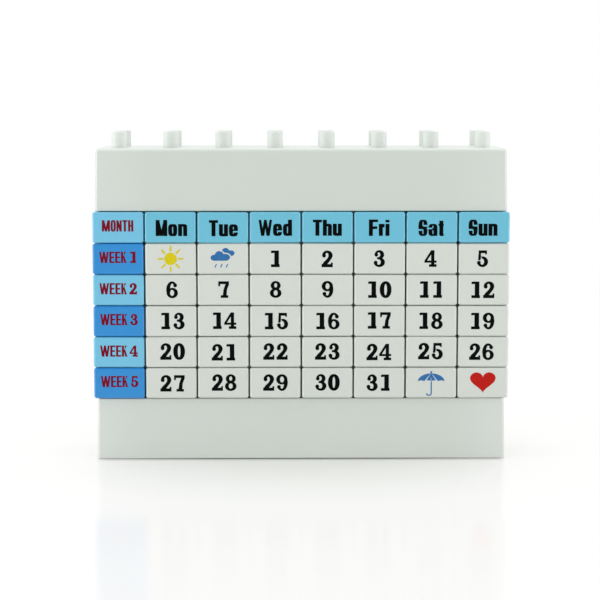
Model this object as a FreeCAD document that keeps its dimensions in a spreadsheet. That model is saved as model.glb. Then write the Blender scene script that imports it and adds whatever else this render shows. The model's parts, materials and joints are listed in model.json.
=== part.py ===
import FreeCAD, Part
import os
import Sketcher

# Desk calendar of push-on tiles on a moulded body, with a drawer in its base.
# The frame: +X to the right, the front faces -Y, +Z up.
# The origin is the middle of the base plate's underside, on the table.

# Driving sizes in millimetres and, for the draft, degrees.
SIZES = (
    ("tile_pitch", "16", "from one tile column to the next"),
    ("row_pitch", "9.6", "from one tile row to the next"),
    ("tile_gap", "0.4", "gap between two tile columns"),
    ("row_gap", "0.15", "gap between two tile rows"),
    ("tile_wall", "1.2", "tile side wall"),
    ("tile_face", "1.1", "tile front wall"),
    ("tile_chamfer", "0.35", "chamfer round the tile's front"),
    ("tile_proud", "1", "how far the tiles stand in front of the bands"),
    ("grip_rib", "1", "thickness of the ribs that grip a peg"),
    ("grip_clear", "0.03", "running gap between peg and ribs"),
    ("grip_recess", "0.6", "how far the ribs stay behind the tile's rim"),
    ("peg_dia", "4.8", "peg diameter"),
    ("peg_height", "5", "peg height"),
    ("peg_spare", "0.3", "from a peg's end to the tile's front wall"),
    ("peg_row_gap", "16", "from the cap's front pegs to its back pegs"),
    ("side_inset", "0.9", "tile field's edge to the body's side at the foot of a band"),
    ("body_depth", "32", "body at the foot of a band, front to back"),
    ("head_height", "19", "upper band"),
    ("base_height", "18.6", "lower band"),
    ("plate_proud", "0.4", "how far the base plate stands below the lower band"),
    ("field_margin", "0.2", "spare height above and below the tile rows"),
    ("wall", "2", "wall of the body mouldings"),
    ("draft", "1.05", "draft of the bands in degrees"),
    ("edge_round", "1", "rounded outer edges of the bands"),
    ("panel_step", "0.6", "panel's side inside the foot of the bands"),
    ("back_step", "0.4", "back cover inside the foot of the bands"),
    ("rib_thick", "1.2", "stiffening rib"),
    ("rib_height", "8", "stiffening rib, from the wall it stands on"),
    ("rib_pitch", "32", "from one stiffening rib to the next"),
    ("lip_thick", "1.2", "locating lip of the back cover"),
    ("lip_height", "1.5", "locating lip of the back cover"),
    ("snap_long", "10", "snap bead of the back cover, along its lip"),
    ("snap_wide", "0.8", "snap bead of the back cover"),
    ("snap_high", "0.5", "snap bead of the back cover, above its lip"),
    ("snap_span", "72", "between the middles of two snap beads"),
    ("fit_gap", "0.15", "gap round a cover, bead or tab in its moulding"),
    ("boss_dia", "6", "screw boss"),
    ("foot_boss_height", "5", "boss on the panel's floor"),
    ("link_span", "80", "between the screws that join two mouldings"),
    ("link_back", "3", "joining screws behind the body's middle"),
    ("screw_dia", "2.4", "screw shank diameter"),
    ("screw_length", "8", "screw shank length"),
    ("screw_head_dia", "4.6", "screw head diameter"),
    ("screw_head_height", "1.2", "screw head height"),
    ("screw_clear", "0.2", "radial gap round a screw in its clearance hole"),
    ("thread_clear", "0.05", "radial gap round a screw in its core hole"),
    ("screw_sink", "0.2", "base screw heads inside the underside of the plate"),
    ("core_spare", "2", "core hole beyond the length of a screw"),
    ("plate_thick", "2.4", "base plate"),
    ("tab_width", "6", "tab at the base plate's end"),
    ("tab_reach", "1.1", "tab at the base plate's end"),
    ("tab_thick", "0.8", "tab at the base plate's end"),
    ("tab_span", "16", "between the middles of the two tabs"),
    ("plate_screw_inset", "5", "base's inner end wall to the plate's screw"),
    ("bay_gap", "2.8", "plate's screw boss to the closed drawer"),
    ("drawer_gap", "0.4", "drawer to the tunnel's side walls, at their top"),
    ("drawer_inset", "0.5", "drawer's end face inside the foot of the base"),
    ("drawer_headroom", "0.85", "drawer to the screw heads above it"),
    ("drawer_wall", "1.4", "drawer's sides and floor"),
    ("drawer_end", "2", "drawer's outer end wall"),
    ("drawer_round", "1.5", "drawer's upright corners"),
    ("drawer_hold", "25", "drawer that stays in the base at its stop"),
    ("runner_gap", "0.15", "drawer above the base plate"),
    ("mouth_gap", "0.3", "base's mouth round the drawer"),
    ("notch_radius", "7", "finger notch"),
    ("nib_width", "5", "drawer's stop nib"),
    ("nib_length", "3", "drawer's stop nib"),
    ("nib_height", "0.9", "drawer's stop nib"),
    ("nib_clear", "0.3", "round the stop nib in its groove"),
    ("cut_over", "1", "overrun of a cut past the face it opens"),
)

# Sizes and places that follow from the driving sizes.
WORKED = (
    ("tile_wide", "=Sizes.tile_pitch - Sizes.tile_gap"),
    ("tile_tall", "=Sizes.row_pitch - Sizes.row_gap"),
    ("tile_well", "=Sizes.peg_height + Sizes.peg_spare"),
    ("tile_deep", "=tile_well + Sizes.tile_face"),
    ("body_wide", "=columns * Sizes.tile_pitch - 2 * Sizes.side_inset"),
    ("half_wide", "=body_wide / 2"),
    ("half_deep", "=Sizes.body_depth / 2"),
    ("base_top", "=Sizes.plate_proud + Sizes.base_height"),
    ("base_roof", "=base_top - Sizes.wall"),
    ("base_lean", "=Sizes.base_height * tan(Sizes.draft * 1 deg)"),
    ("panel_tall", "=rows * Sizes.row_pitch + 2 * Sizes.field_margin"),
    ("panel_mid", "=base_top + panel_tall / 2"),
    ("head_foot", "=base_top + panel_tall"),
    ("head_roof", "=head_foot + Sizes.head_height - Sizes.wall"),
    ("head_top", "=head_foot + Sizes.head_height"),
    ("panel_wide", "=body_wide - 2 * Sizes.panel_step"),
    ("panel_front", "=half_deep + Sizes.tile_proud - tile_deep"),
    ("cover_back", "=half_deep - Sizes.back_step"),
    ("cover_front", "=cover_back - Sizes.wall"),
    ("panel_deep", "=panel_front + cover_front"),
    ("first_column", "=-(columns - 1) / 2 * Sizes.tile_pitch"),
    ("first_row", "=base_top + Sizes.field_margin + Sizes.row_pitch / 2"),
    ("lip_wide", "=panel_wide - 2 * (Sizes.wall + Sizes.fit_gap)"),
    ("lip_tall", "=panel_tall - 2 * (Sizes.wall + Sizes.fit_gap)"),
    ("snap_depth", "=cover_front - Sizes.lip_height / 2"),
    ("core_dia", "=Sizes.screw_dia + 2 * Sizes.thread_clear"),
    ("pass_dia", "=Sizes.screw_dia + 2 * Sizes.screw_clear"),
    ("sink_dia", "=Sizes.screw_head_dia + 2 * Sizes.screw_clear"),
    ("core_deep", "=Sizes.screw_length + Sizes.core_spare"),
    ("plate_seat", "=Sizes.screw_sink + Sizes.screw_head_height"),
    ("room_wide", "=body_wide - 2 * Sizes.wall"),
    ("room_deep", "=Sizes.body_depth - 2 * Sizes.wall"),
    ("plate_wide", "=room_wide - 2 * Sizes.fit_gap"),
    ("plate_deep", "=room_deep - 2 * Sizes.fit_gap"),
    ("plate_screw_x", "=Sizes.plate_screw_inset - room_wide / 2"),
    ("tab_mid", "=(Sizes.plate_proud + Sizes.plate_thick) / 2"),
    ("drawer_back", "=plate_screw_x + Sizes.boss_dia / 2 + Sizes.bay_gap"),
    ("drawer_front", "=half_wide - Sizes.drawer_inset"),
    ("drawer_long", "=drawer_front - drawer_back"),
    ("drawer_mid", "=(drawer_front + drawer_back) / 2"),
    ("drawer_wide", "=room_deep - 2 * (Sizes.drawer_gap + base_lean)"),
    ("drawer_low", "=Sizes.plate_thick + Sizes.runner_gap"),
    ("drawer_top", "=base_roof - Sizes.screw_head_height - Sizes.drawer_headroom"),
    ("drawer_tall", "=drawer_top - drawer_low"),
    ("drawer_travel", "=drawer_long - Sizes.drawer_hold"),
    ("well_long", "=drawer_long - Sizes.drawer_wall - Sizes.drawer_end"),
    ("well_mid", "=drawer_mid + (Sizes.drawer_wall - Sizes.drawer_end) / 2"),
    ("mouth_tall", "=drawer_top + Sizes.mouth_gap - Sizes.plate_thick"),
    ("nib_mid", "=drawer_back + Sizes.nib_length / 2"),
    ("groove_long", "=Sizes.nib_length + drawer_travel + 2 * Sizes.nib_clear"),
    ("groove_mid", "=nib_mid + drawer_travel / 2"),
    ("groove_deep", "=Sizes.nib_height - Sizes.runner_gap + Sizes.nib_clear"),
)

TOP_PEG_ROWS = 2
RIBS = 3
PEG_SIDES = 8
SIDES = (-1, 1)
SAME_HEIGHT = 1e-6


def tile_rows():
    """The tiles' names, row by row from the top left."""
    days = [f"tile_day_{day:02d}" for day in range(1, 32)]
    field = ["tile_sun", "tile_cloud"] + days + ["tile_umbrella", "tile_heart"]
    rows = [["tile_month"] + [f"tile_weekday_{day}" for day in range(1, 8)]]
    for week in range(5):
        rows.append([f"tile_week_{week + 1}"] + field[7 * week : 7 * week + 7])
    return rows


TILES = tile_rows()
ROWS = len(TILES)
COLUMNS = len(TILES[0])


def make_sheets(doc):
    sizes = doc.addObject("Spreadsheet::Sheet", "Sizes")
    for line, (name, value, meaning) in enumerate(SIZES, start=1):
        sizes.set(f"A{line}", meaning)
        sizes.set(f"B{line}", value)
        sizes.setAlias(f"B{line}", name)
    counts = (("columns", str(COLUMNS)), ("rows", str(ROWS)))
    worked = doc.addObject("Spreadsheet::Sheet", "Worked")
    for line, (name, value) in enumerate(counts + WORKED, start=1):
        worked.set(f"A{line}", name)
        worked.set(f"B{line}", value)
        worked.setAlias(f"B{line}", name)
    doc.recompute()


def new_body(doc, name):
    body = doc.addObject("PartDesign::Body", name)
    body.Label = name
    return body


def origin_feature(body, role):
    return next(part for part in body.Origin.OriginFeatures if part.Role == role)


def new_sketch(body, name, plane, at):
    """A sketch on an origin plane, moved by three expressions: two along it, one off it."""
    sketch = body.newObject("Sketcher::SketchObject", body.Name + name)
    sketch.AttachmentSupport = [(origin_feature(body, plane), "")]
    sketch.MapMode = "FlatFace"
    for axis, place in zip("xyz", at):
        sketch.setExpression(f"AttachmentOffset.Base.{axis}", place)
    return sketch


def named_constraint(sketch, constraint, name, expression):
    sketch.renameConstraint(sketch.addConstraint(constraint), name)
    sketch.setExpression(f"Constraints.{name}", expression)


def rectangle(body, name, plane, wide, tall, at=("0", "0", "0")):
    """A rectangle about the sketch's own middle."""
    sketch = new_sketch(body, name, plane, at)
    corners = [FreeCAD.Vector(x, y, 0) for x, y in ((-1, -1), (1, -1), (1, 1), (-1, 1))]
    for here, there in zip(corners, corners[1:] + corners[:1]):
        sketch.addGeometry(Part.LineSegment(here, there))
    for side in range(4):
        sketch.addConstraint(Sketcher.Constraint("Coincident", side, 2, (side + 1) % 4, 1))
    for side in (0, 2):
        sketch.addConstraint(Sketcher.Constraint("Horizontal", side))
        sketch.addConstraint(Sketcher.Constraint("Vertical", side + 1))
    sketch.addConstraint(Sketcher.Constraint("Symmetric", 0, 1, 2, 1, -1, 1))
    named_constraint(sketch, Sketcher.Constraint("DistanceX", 0, 1, 0, 2, 2), "wide", wide)
    named_constraint(sketch, Sketcher.Constraint("DistanceY", 1, 1, 1, 2, 2), "tall", tall)
    return sketch


def circle(body, name, plane, diameter, at=("0", "0", "0")):
    """A circle on the sketch's own middle."""
    sketch = new_sketch(body, name, plane, at)
    sketch.addGeometry(Part.Circle(FreeCAD.Vector(0, 0, 0), FreeCAD.Vector(0, 0, 1), 1))
    sketch.addConstraint(Sketcher.Constraint("Coincident", 0, 3, -1, 1))
    named_constraint(sketch, Sketcher.Constraint("Diameter", 0, 2), "diameter", diameter)
    return sketch


def from_sketch(body, kind, sketch, length, back, taper):
    made = body.newObject(f"PartDesign::{kind}", sketch.Name + kind)
    made.Profile = sketch
    made.setExpression("Length", length)
    made.Reversed = back
    if taper:
        made.setExpression("TaperAngle", taper)
    return made


def pad(body, sketch, length, back=False, taper=None):
    """Adds along the sketch's normal, or against it when back is set."""
    return from_sketch(body, "Pad", sketch, length, back, taper)


def pocket(body, sketch, length, back=False, taper=None):
    """Cuts along the sketch's normal, or against it when back is set."""
    return from_sketch(body, "Pocket", sketch, length, not back, taper)


def pattern(body, name, features, *steps):
    """Repeats features along one or two axes, each step an axis, a count and a pitch."""
    made = body.newObject("PartDesign::MultiTransform", body.Name + name)
    made.Originals = features
    lines = []
    for axis, count, pitch in steps:
        line = body.newObject("PartDesign::LinearPattern", f"{made.Name}{axis}")
        line.Direction = (origin_feature(body, axis), [""])
        line.Occurrences = count
        line.setExpression("Length", f"{count - 1} * {pitch}")
        lines.append(line)
    made.Transformations = lines
    body.Tip = made
    return made


def dress(doc, kind, base, wanted, size, value):
    """A fillet or chamfer on the base's edges that pass a test."""
    body = base.getParentGeoFeatureGroup()
    doc.recompute(body.Group)
    edges = [f"Edge{n}" for n, edge in enumerate(base.Shape.Edges, start=1) if wanted(edge)]
    made = body.newObject(f"PartDesign::{kind}", base.Name + kind)
    made.Base = (base, edges)
    made.setExpression(size, value)
    return made


def upright(edge):
    """Runs from the foot of a moulding to its top."""
    box = edge.BoundBox
    return box.ZLength > max(box.XLength, box.YLength)


def at_top(edge, top):
    return edge.BoundBox.ZMin > top - SAME_HEIGHT


def make_band(doc, body, foot, height, round_top):
    """A drafted box with rounded outer edges, open at its foot."""
    at = ("0", "0", foot)
    outline = rectangle(body, "Outline", "XY_Plane", "Worked.body_wide", "Sizes.body_depth", at)
    block = pad(body, outline, height, taper="-Sizes.draft")
    doc.recompute()
    top = block.Shape.BoundBox.ZMax

    def outer(edge):
        return upright(edge) or (round_top and at_top(edge, top))

    dress(doc, "Fillet", block, outer, "Radius", "Sizes.edge_round")
    room = rectangle(body, "Room", "XY_Plane", "Worked.room_wide", "Worked.room_deep", at)
    pocket(body, room, f"{height} - Sizes.wall", taper="-Sizes.draft")


def make_bosses(body, name, plane, spots, length):
    """Round screw bosses that stand along the plane's normal, cored from their foot."""
    for number, at in enumerate(spots):
        pad(body, circle(body, f"{name}{number}", plane, "Sizes.boss_dia", at), length)
    for number, at in enumerate(spots):
        pocket(body, circle(body, f"{name}Core{number}", plane, "Worked.core_dia", at), "Worked.core_deep")


def make_holes(body, name, plane, spots, diameter, length):
    for number, at in enumerate(spots):
        pocket(body, circle(body, f"{name}{number}", plane, diameter, at), length)


def link_spots(height):
    """Where two screws join one moulding to the next."""
    return [(f"{side} * Sizes.link_span / 2", "Sizes.link_back", height) for side in SIDES]


def plate_spots(height):
    """The base plate's one screw, in the bay behind the drawer."""
    return [("Worked.plate_screw_x", "0", height)]


def snap_spots(from_middle):
    """Two snap places on the lip's top and two on its bottom, a height from the lip's middle."""
    return [
        (f"{side} * Sizes.snap_span / 2", f"Worked.panel_mid + {rise} * ({from_middle})")
        for side in SIDES
        for rise in SIDES
    ]


def make_ribs(body, plane, long, at):
    """Stiffening ribs side by side along X, standing along the plane's normal from at."""
    start = (f"-{RIBS - 1} / 2 * Sizes.rib_pitch", at[0], at[1])
    rib = pad(body, rectangle(body, "Rib", plane, "Sizes.rib_thick", long, start), "Sizes.rib_height", back=True)
    pattern(body, "Ribs", [rib], ("X_Axis", RIBS, "Sizes.rib_pitch"))


def make_head_cap(doc):
    body = new_body(doc, "head_cap")
    make_band(doc, body, "Worked.head_foot", "Sizes.head_height", round_top=True)
    make_ribs(body, "XY_Plane", "Worked.room_deep + Sizes.wall", ("0", "Worked.head_roof"))
    make_bosses(body, "Boss", "XY_Plane", link_spots("Worked.head_foot"), "Sizes.head_height - Sizes.wall")
    start = ("Worked.first_column", f"-{TOP_PEG_ROWS - 1} / 2 * Sizes.peg_row_gap", "Worked.head_top")
    peg = pad(body, circle(body, "Peg", "XY_Plane", "Sizes.peg_dia", start), "Sizes.peg_height")
    along = ("X_Axis", COLUMNS, "Sizes.tile_pitch")
    across = ("Y_Axis", TOP_PEG_ROWS, "Sizes.peg_row_gap")
    pattern(body, "Pegs", [peg], along, across)
    return body


def make_peg_panel(doc):
    body = new_body(doc, "peg_panel")
    front = ("0", "Worked.panel_mid", "Worked.panel_front")
    back = ("0", "Worked.panel_mid", "-Worked.cover_front")
    outline = rectangle(body, "Outline", "XZ_Plane", "Worked.panel_wide", "Worked.panel_tall", front)
    pad(body, outline, "Worked.panel_deep", back=True)
    inside = ("Worked.panel_wide - 2 * Sizes.wall", "Worked.panel_tall - 2 * Sizes.wall")
    pocket(body, rectangle(body, "Room", "XZ_Plane", *inside, back), "Worked.panel_deep - Sizes.wall")
    make_ribs(body, "XZ_Plane", "Worked.panel_tall - Sizes.wall", (front[1], f"{front[2]} - Sizes.wall"))
    for number, spot in enumerate(snap_spots("Worked.lip_tall / 2")):
        at = (*spot, "-Worked.snap_depth - Sizes.snap_wide / 2 - Sizes.fit_gap")
        tall = "2 * (Sizes.snap_high + Sizes.fit_gap)"
        slot = rectangle(body, f"Slot{number}", "XZ_Plane", "Sizes.snap_long + 2 * Sizes.fit_gap", tall, at)
        pocket(body, slot, "Sizes.snap_wide + 2 * Sizes.fit_gap")
    for number, at in enumerate(link_spots("Worked.base_top + Sizes.wall")):
        pad(body, circle(body, f"Foot{number}", "XY_Plane", "Sizes.boss_dia", at), "Sizes.foot_boss_height")
    under = link_spots("Worked.base_top - Sizes.cut_over")
    through = "Sizes.wall + 2 * Sizes.cut_over"
    make_holes(body, "FootCore", "XY_Plane", under, "Worked.core_dia", f"Sizes.foot_boss_height + {through}")
    under = link_spots("Worked.head_foot - Sizes.wall - Sizes.cut_over")
    make_holes(body, "HeadHole", "XY_Plane", under, "Worked.pass_dia", through)
    peg = body.newObject("PartDesign::AdditivePrism", "PanelPeg")
    peg.AttachmentSupport = [(origin_feature(body, "XZ_Plane"), "")]
    peg.MapMode = "FlatFace"
    peg.Polygon = PEG_SIDES
    peg.AttachmentOffset.Rotation = FreeCAD.Rotation(FreeCAD.Vector(0, 0, 1), 180 / PEG_SIDES)
    for axis, place in zip("xyz", ("Worked.first_column", "Worked.first_row", "Worked.panel_front")):
        peg.setExpression(f"AttachmentOffset.Base.{axis}", place)
    peg.setExpression("Circumradius", f"Sizes.peg_dia / 2 / cos({180 / PEG_SIDES} deg)")
    peg.setExpression("Height", "Sizes.peg_height")
    along = ("X_Axis", COLUMNS, "Sizes.tile_pitch")
    upward = ("Z_Axis", ROWS, "Sizes.row_pitch")
    pattern(body, "Pegs", [peg], along, upward)
    return body


def make_back_cover(doc):
    body = new_body(doc, "back_cover")
    back = ("0", "Worked.panel_mid", "-Worked.cover_back")
    front = ("0", "Worked.panel_mid", "-Worked.cover_front")
    outline = rectangle(body, "Outline", "XZ_Plane", "Worked.panel_wide", "Worked.panel_tall", back)
    pad(body, outline, "Sizes.wall")
    lip = ("Worked.lip_wide", "Worked.lip_tall")
    pad(body, rectangle(body, "Lip", "XZ_Plane", *lip, front), "Sizes.lip_height")
    for number, spot in enumerate(snap_spots("(Worked.lip_tall - Sizes.lip_thick) / 2")):
        at = (*spot, "-Worked.snap_depth - Sizes.snap_wide / 2")
        tall = "Sizes.lip_thick + 2 * Sizes.snap_high"
        bead = rectangle(body, f"Snap{number}", "XZ_Plane", "Sizes.snap_long", tall, at)
        pad(body, bead, "Sizes.snap_wide")
    hollow = [f"{side} - 2 * Sizes.lip_thick" for side in lip]
    cut = "Sizes.lip_height + Sizes.cut_over"
    pocket(body, rectangle(body, "LipRoom", "XZ_Plane", *hollow, front), cut)
    return body


def make_base_shell(doc):
    body = new_body(doc, "base_shell")
    make_band(doc, body, "Sizes.plate_proud", "Sizes.base_height", round_top=False)
    make_bosses(
        body, "Boss", "XY_Plane", plate_spots("Sizes.plate_thick"), "Worked.base_roof - Sizes.plate_thick"
    )
    under = link_spots("Worked.base_roof - Sizes.cut_over")
    make_holes(body, "Hole", "XY_Plane", under, "Worked.pass_dia", "Sizes.wall + 2 * Sizes.cut_over")
    outside = ("0", "Sizes.plate_thick + Worked.mouth_tall / 2", "Worked.half_wide + Sizes.cut_over")
    wide = "Worked.drawer_wide + 2 * Sizes.mouth_gap"
    mouth = rectangle(body, "Mouth", "YZ_Plane", wide, "Worked.mouth_tall", outside)
    pocket(body, mouth, "Sizes.wall + 2 * Sizes.cut_over", back=True)
    slot = ("Sizes.tab_width + 2 * Sizes.fit_gap", "Sizes.tab_thick + 2 * Sizes.fit_gap")
    for side in SIDES:
        at = (f"{side} * Sizes.tab_span / 2", "Worked.tab_mid", "Worked.plate_wide / 2")
        cut = rectangle(body, f"Slot{side + 1}", "YZ_Plane", *slot, at)
        pocket(body, cut, "Sizes.tab_reach + Sizes.fit_gap")
    return body


def make_base_plate(doc):
    body = new_body(doc, "base_plate")
    pad(body, rectangle(body, "Outline", "XY_Plane", "Worked.plate_wide", "Worked.plate_deep"), "Sizes.plate_thick")
    for side in SIDES:
        at = (f"{side} * Sizes.tab_span / 2", "Worked.tab_mid", "Worked.plate_wide / 2")
        tab = rectangle(body, f"Tab{side + 1}", "YZ_Plane", "Sizes.tab_width", "Sizes.tab_thick", at)
        pad(body, tab, "Sizes.tab_reach")
    groove_at = ("Worked.groove_mid", "0", "Sizes.plate_thick - Worked.groove_deep")
    groove_wide = "Sizes.nib_width + 2 * Sizes.nib_clear"
    groove = rectangle(body, "Groove", "XY_Plane", "Worked.groove_long", groove_wide, groove_at)
    pocket(body, groove, "Worked.groove_deep + Sizes.cut_over")
    under = plate_spots("-Sizes.cut_over")
    make_holes(body, "Hole", "XY_Plane", under, "Worked.pass_dia", "Sizes.plate_thick + 2 * Sizes.cut_over")
    make_holes(body, "Sink", "XY_Plane", under, "Worked.sink_dia", "Worked.plate_seat + Sizes.cut_over")
    return body


def make_drawer_tray(doc):
    body = new_body(doc, "drawer_tray")
    low = ("Worked.drawer_mid", "0", "Worked.drawer_low")
    outline = rectangle(body, "Outline", "XY_Plane", "Worked.drawer_long", "Worked.drawer_wide", low)
    block = pad(body, outline, "Worked.drawer_tall")
    doc.recompute()
    middle = block.Shape.BoundBox.Center.x

    def inner_end(edge):
        return upright(edge) and edge.BoundBox.XMax < middle

    dress(doc, "Fillet", block, inner_end, "Radius", "Sizes.drawer_round")
    floor = ("Worked.well_mid", "0", "Worked.drawer_low + Sizes.drawer_wall")
    wide = "Worked.drawer_wide - 2 * Sizes.drawer_wall"
    well = pocket(
        body, rectangle(body, "Well", "XY_Plane", "Worked.well_long", wide, floor), "Worked.drawer_tall"
    )
    doc.recompute()
    foot = well.Shape.BoundBox.ZMin

    def well_corner(edge):
        box = edge.BoundBox
        return upright(edge) and box.ZMin > foot + SAME_HEIGHT

    dress(doc, "Fillet", well, well_corner, "Radius", "Sizes.drawer_round")
    notch_at = ("0", "Worked.drawer_top", "Worked.drawer_front + Sizes.cut_over")
    notch = circle(body, "Notch", "YZ_Plane", "2 * Sizes.notch_radius", notch_at)
    pocket(body, notch, "Sizes.drawer_end + 2 * Sizes.cut_over", back=True)
    nib_at = ("Worked.nib_mid", "0", "Worked.drawer_low")
    nib = rectangle(body, "Nib", "XY_Plane", "Sizes.nib_length", "Sizes.nib_width", nib_at)
    pad(body, nib, "Sizes.nib_height", back=True)
    return body


def make_screws(doc, name, seats):
    """Equal screws, each standing on the seat of its head."""
    screws = []
    for number, seat in enumerate(seats):
        head = doc.addObject("Part::Cylinder", f"{name}Head{number}")
        head.setExpression("Radius", "Sizes.screw_head_dia / 2")
        head.setExpression("Height", "Sizes.screw_head_height")
        head.setExpression("Placement.Base.z", "-Sizes.screw_head_height")
        shank = doc.addObject("Part::Cylinder", f"{name}Shank{number}")
        shank.setExpression("Radius", "Sizes.screw_dia / 2")
        shank.setExpression("Height", "Sizes.screw_length")
        screw = doc.addObject("Part::Fuse", f"{name}Screw{number}")
        screw.Base = head
        screw.Tool = shank
        for axis, place in zip("xyz", seat):
            screw.setExpression(f"Placement.Base.{axis}", place)
        screws.append(screw)
    group = doc.addObject("Part::Compound", name)
    group.Links = screws
    group.Label = name
    return group


def make_tile(doc, name, column, row):
    """A hollow tile whose crossed ribs grip a peg; its origin is in the middle of its rim."""
    body = new_body(doc, name)
    outline = rectangle(body, "Outline", "XZ_Plane", "Worked.tile_wide", "Worked.tile_tall")
    block = pad(body, outline, "Worked.tile_deep")
    doc.recompute(body.Group)
    front = block.Shape.BoundBox.YMin

    def front_edge(edge):
        return edge.BoundBox.YMax < front + SAME_HEIGHT

    dress(doc, "Chamfer", block, front_edge, "Size", "Sizes.tile_chamfer")
    inside = ("Worked.tile_wide - 2 * Sizes.tile_wall", "Worked.tile_tall - 2 * Sizes.tile_wall")
    pocket(body, rectangle(body, "Well", "XZ_Plane", *inside), "Worked.tile_well")
    ribs_at = ("0", "0", "Sizes.grip_recess")
    for part, wide, tall in (("Bar", inside[0], "Sizes.grip_rib"), ("Post", "Sizes.grip_rib", inside[1])):
        rib = rectangle(body, part, "XZ_Plane", wide, tall, ribs_at)
        pad(body, rib, "Worked.tile_well - Sizes.grip_recess")
    across = "Sizes.peg_dia + 2 * Sizes.grip_clear"
    pocket(body, rectangle(body, "Grip", "XZ_Plane", across, across), "Worked.tile_well")
    body.setExpression("Placement.Base.x", f"Worked.first_column + {column} * Sizes.tile_pitch")
    body.setExpression("Placement.Base.y", "-Worked.panel_front")
    body.setExpression("Placement.Base.z", f"Worked.first_row + {ROWS - 1 - row} * Sizes.row_pitch")
    return body


def check_features(doc):
    """Stops on a failed object and on a cut or pad that changed nothing."""
    for item in doc.Objects:
        if {"Invalid", "Error"} & set(item.State):
            raise RuntimeError(f"{item.Name} failed: {item.State}")
        if item.TypeId in ("PartDesign::Pad", "PartDesign::Pocket") and item.BaseFeature:
            grown = item.Shape.Volume - item.BaseFeature.Shape.Volume
            if (grown > 0) != (item.TypeId == "PartDesign::Pad"):
                raise RuntimeError(f"{item.Name} changed the volume by {grown}")


def write_nodes(nodes):
    os.makedirs("parts", exist_ok=True)
    for node in nodes:
        if node.Shape.isNull() or not node.Shape.isValid():
            raise RuntimeError(f"{node.Label} has no valid shape")
        if node.TypeId == "PartDesign::Body" and len(node.Shape.Solids) != 1:
            raise RuntimeError(f"{node.Label} is {len(node.Shape.Solids)} solids")
    for node in nodes:
        node.Shape.exportStep(f"parts/{node.Label}.step")


def main():
    doc = FreeCAD.newDocument("desk_calendar")
    make_sheets(doc)
    nodes = [
        make_head_cap(doc),
        make_peg_panel(doc),
        make_back_cover(doc),
        make_base_shell(doc),
        make_base_plate(doc),
        make_drawer_tray(doc),
        make_screws(doc, "head_screws", link_spots("Worked.head_foot - Sizes.wall")),
        make_screws(doc, "stand_screws", link_spots("Worked.base_roof")),
        make_screws(doc, "plate_screw", plate_spots("Worked.plate_seat")),
    ]
    for row, names in enumerate(TILES):
        for column, name in enumerate(names):
            nodes.append(make_tile(doc, name, column, row))
    doc.recompute()
    check_features(doc)
    write_nodes(nodes)
    print(f"{len(nodes)} nodes, drawer travel {doc.Worked.drawer_travel}")


main()
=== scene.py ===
"""The looks of the desk calendar: mouldings, tiles, prints and screws, and the studio they stand in."""

import json
import logging
import math
import random
from dataclasses import dataclass, field, replace
from enum import Enum
from functools import cache

import bmesh
import bpy
from mathutils import Euler, Matrix, Vector
from mathutils.geometry import delaunay_2d_cdt


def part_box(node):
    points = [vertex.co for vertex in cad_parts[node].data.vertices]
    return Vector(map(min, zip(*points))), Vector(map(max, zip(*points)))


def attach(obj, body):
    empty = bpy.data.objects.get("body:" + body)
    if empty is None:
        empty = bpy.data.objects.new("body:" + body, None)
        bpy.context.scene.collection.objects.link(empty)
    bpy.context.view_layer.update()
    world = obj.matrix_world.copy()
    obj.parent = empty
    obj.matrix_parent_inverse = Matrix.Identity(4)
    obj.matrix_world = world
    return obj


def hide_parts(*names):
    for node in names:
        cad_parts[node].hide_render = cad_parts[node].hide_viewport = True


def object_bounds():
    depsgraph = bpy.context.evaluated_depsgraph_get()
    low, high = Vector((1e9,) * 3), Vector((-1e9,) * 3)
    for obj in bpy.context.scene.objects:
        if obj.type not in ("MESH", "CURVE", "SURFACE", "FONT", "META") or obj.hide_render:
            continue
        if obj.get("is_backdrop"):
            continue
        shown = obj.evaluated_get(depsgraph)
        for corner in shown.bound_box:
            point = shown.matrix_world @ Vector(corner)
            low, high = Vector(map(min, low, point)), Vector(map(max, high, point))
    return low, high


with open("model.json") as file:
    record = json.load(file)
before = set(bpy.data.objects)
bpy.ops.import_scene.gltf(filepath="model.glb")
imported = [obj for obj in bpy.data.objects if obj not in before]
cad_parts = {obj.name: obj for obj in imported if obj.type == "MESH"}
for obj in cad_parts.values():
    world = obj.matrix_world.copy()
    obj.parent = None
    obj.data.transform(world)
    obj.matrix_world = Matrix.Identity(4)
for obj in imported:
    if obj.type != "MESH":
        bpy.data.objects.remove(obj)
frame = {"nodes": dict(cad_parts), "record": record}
CAD_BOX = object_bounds()

LOG = logging.getLogger("desk_calendar")
MM = 0.001
OVAL_STEPS = 44
FRAME_SIDE_PX = 600

Colour = tuple[float, float, float]
Place = tuple[float, float, float]
Point = tuple[float, float]
Sockets = bpy.types.NodeInputs | bpy.types.NodeOutputs


def srgb(red: int, green: int, blue: int) -> Colour:
    """Turns a colour of 0 to 255 as seen on a screen into the renderer's linear one.

    Args:
        red: The red part.
        green: The green part.
        blue: The blue part.

    Returns:
        The linear colour.
    """

    def linear(part: int) -> float:
        """One part of the colour, as linear light."""
        share = part / 255
        return share / 12.92 if share <= 0.04045 else ((share + 0.055) / 1.055) ** 2.4

    return linear(red), linear(green), linear(blue)


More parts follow.
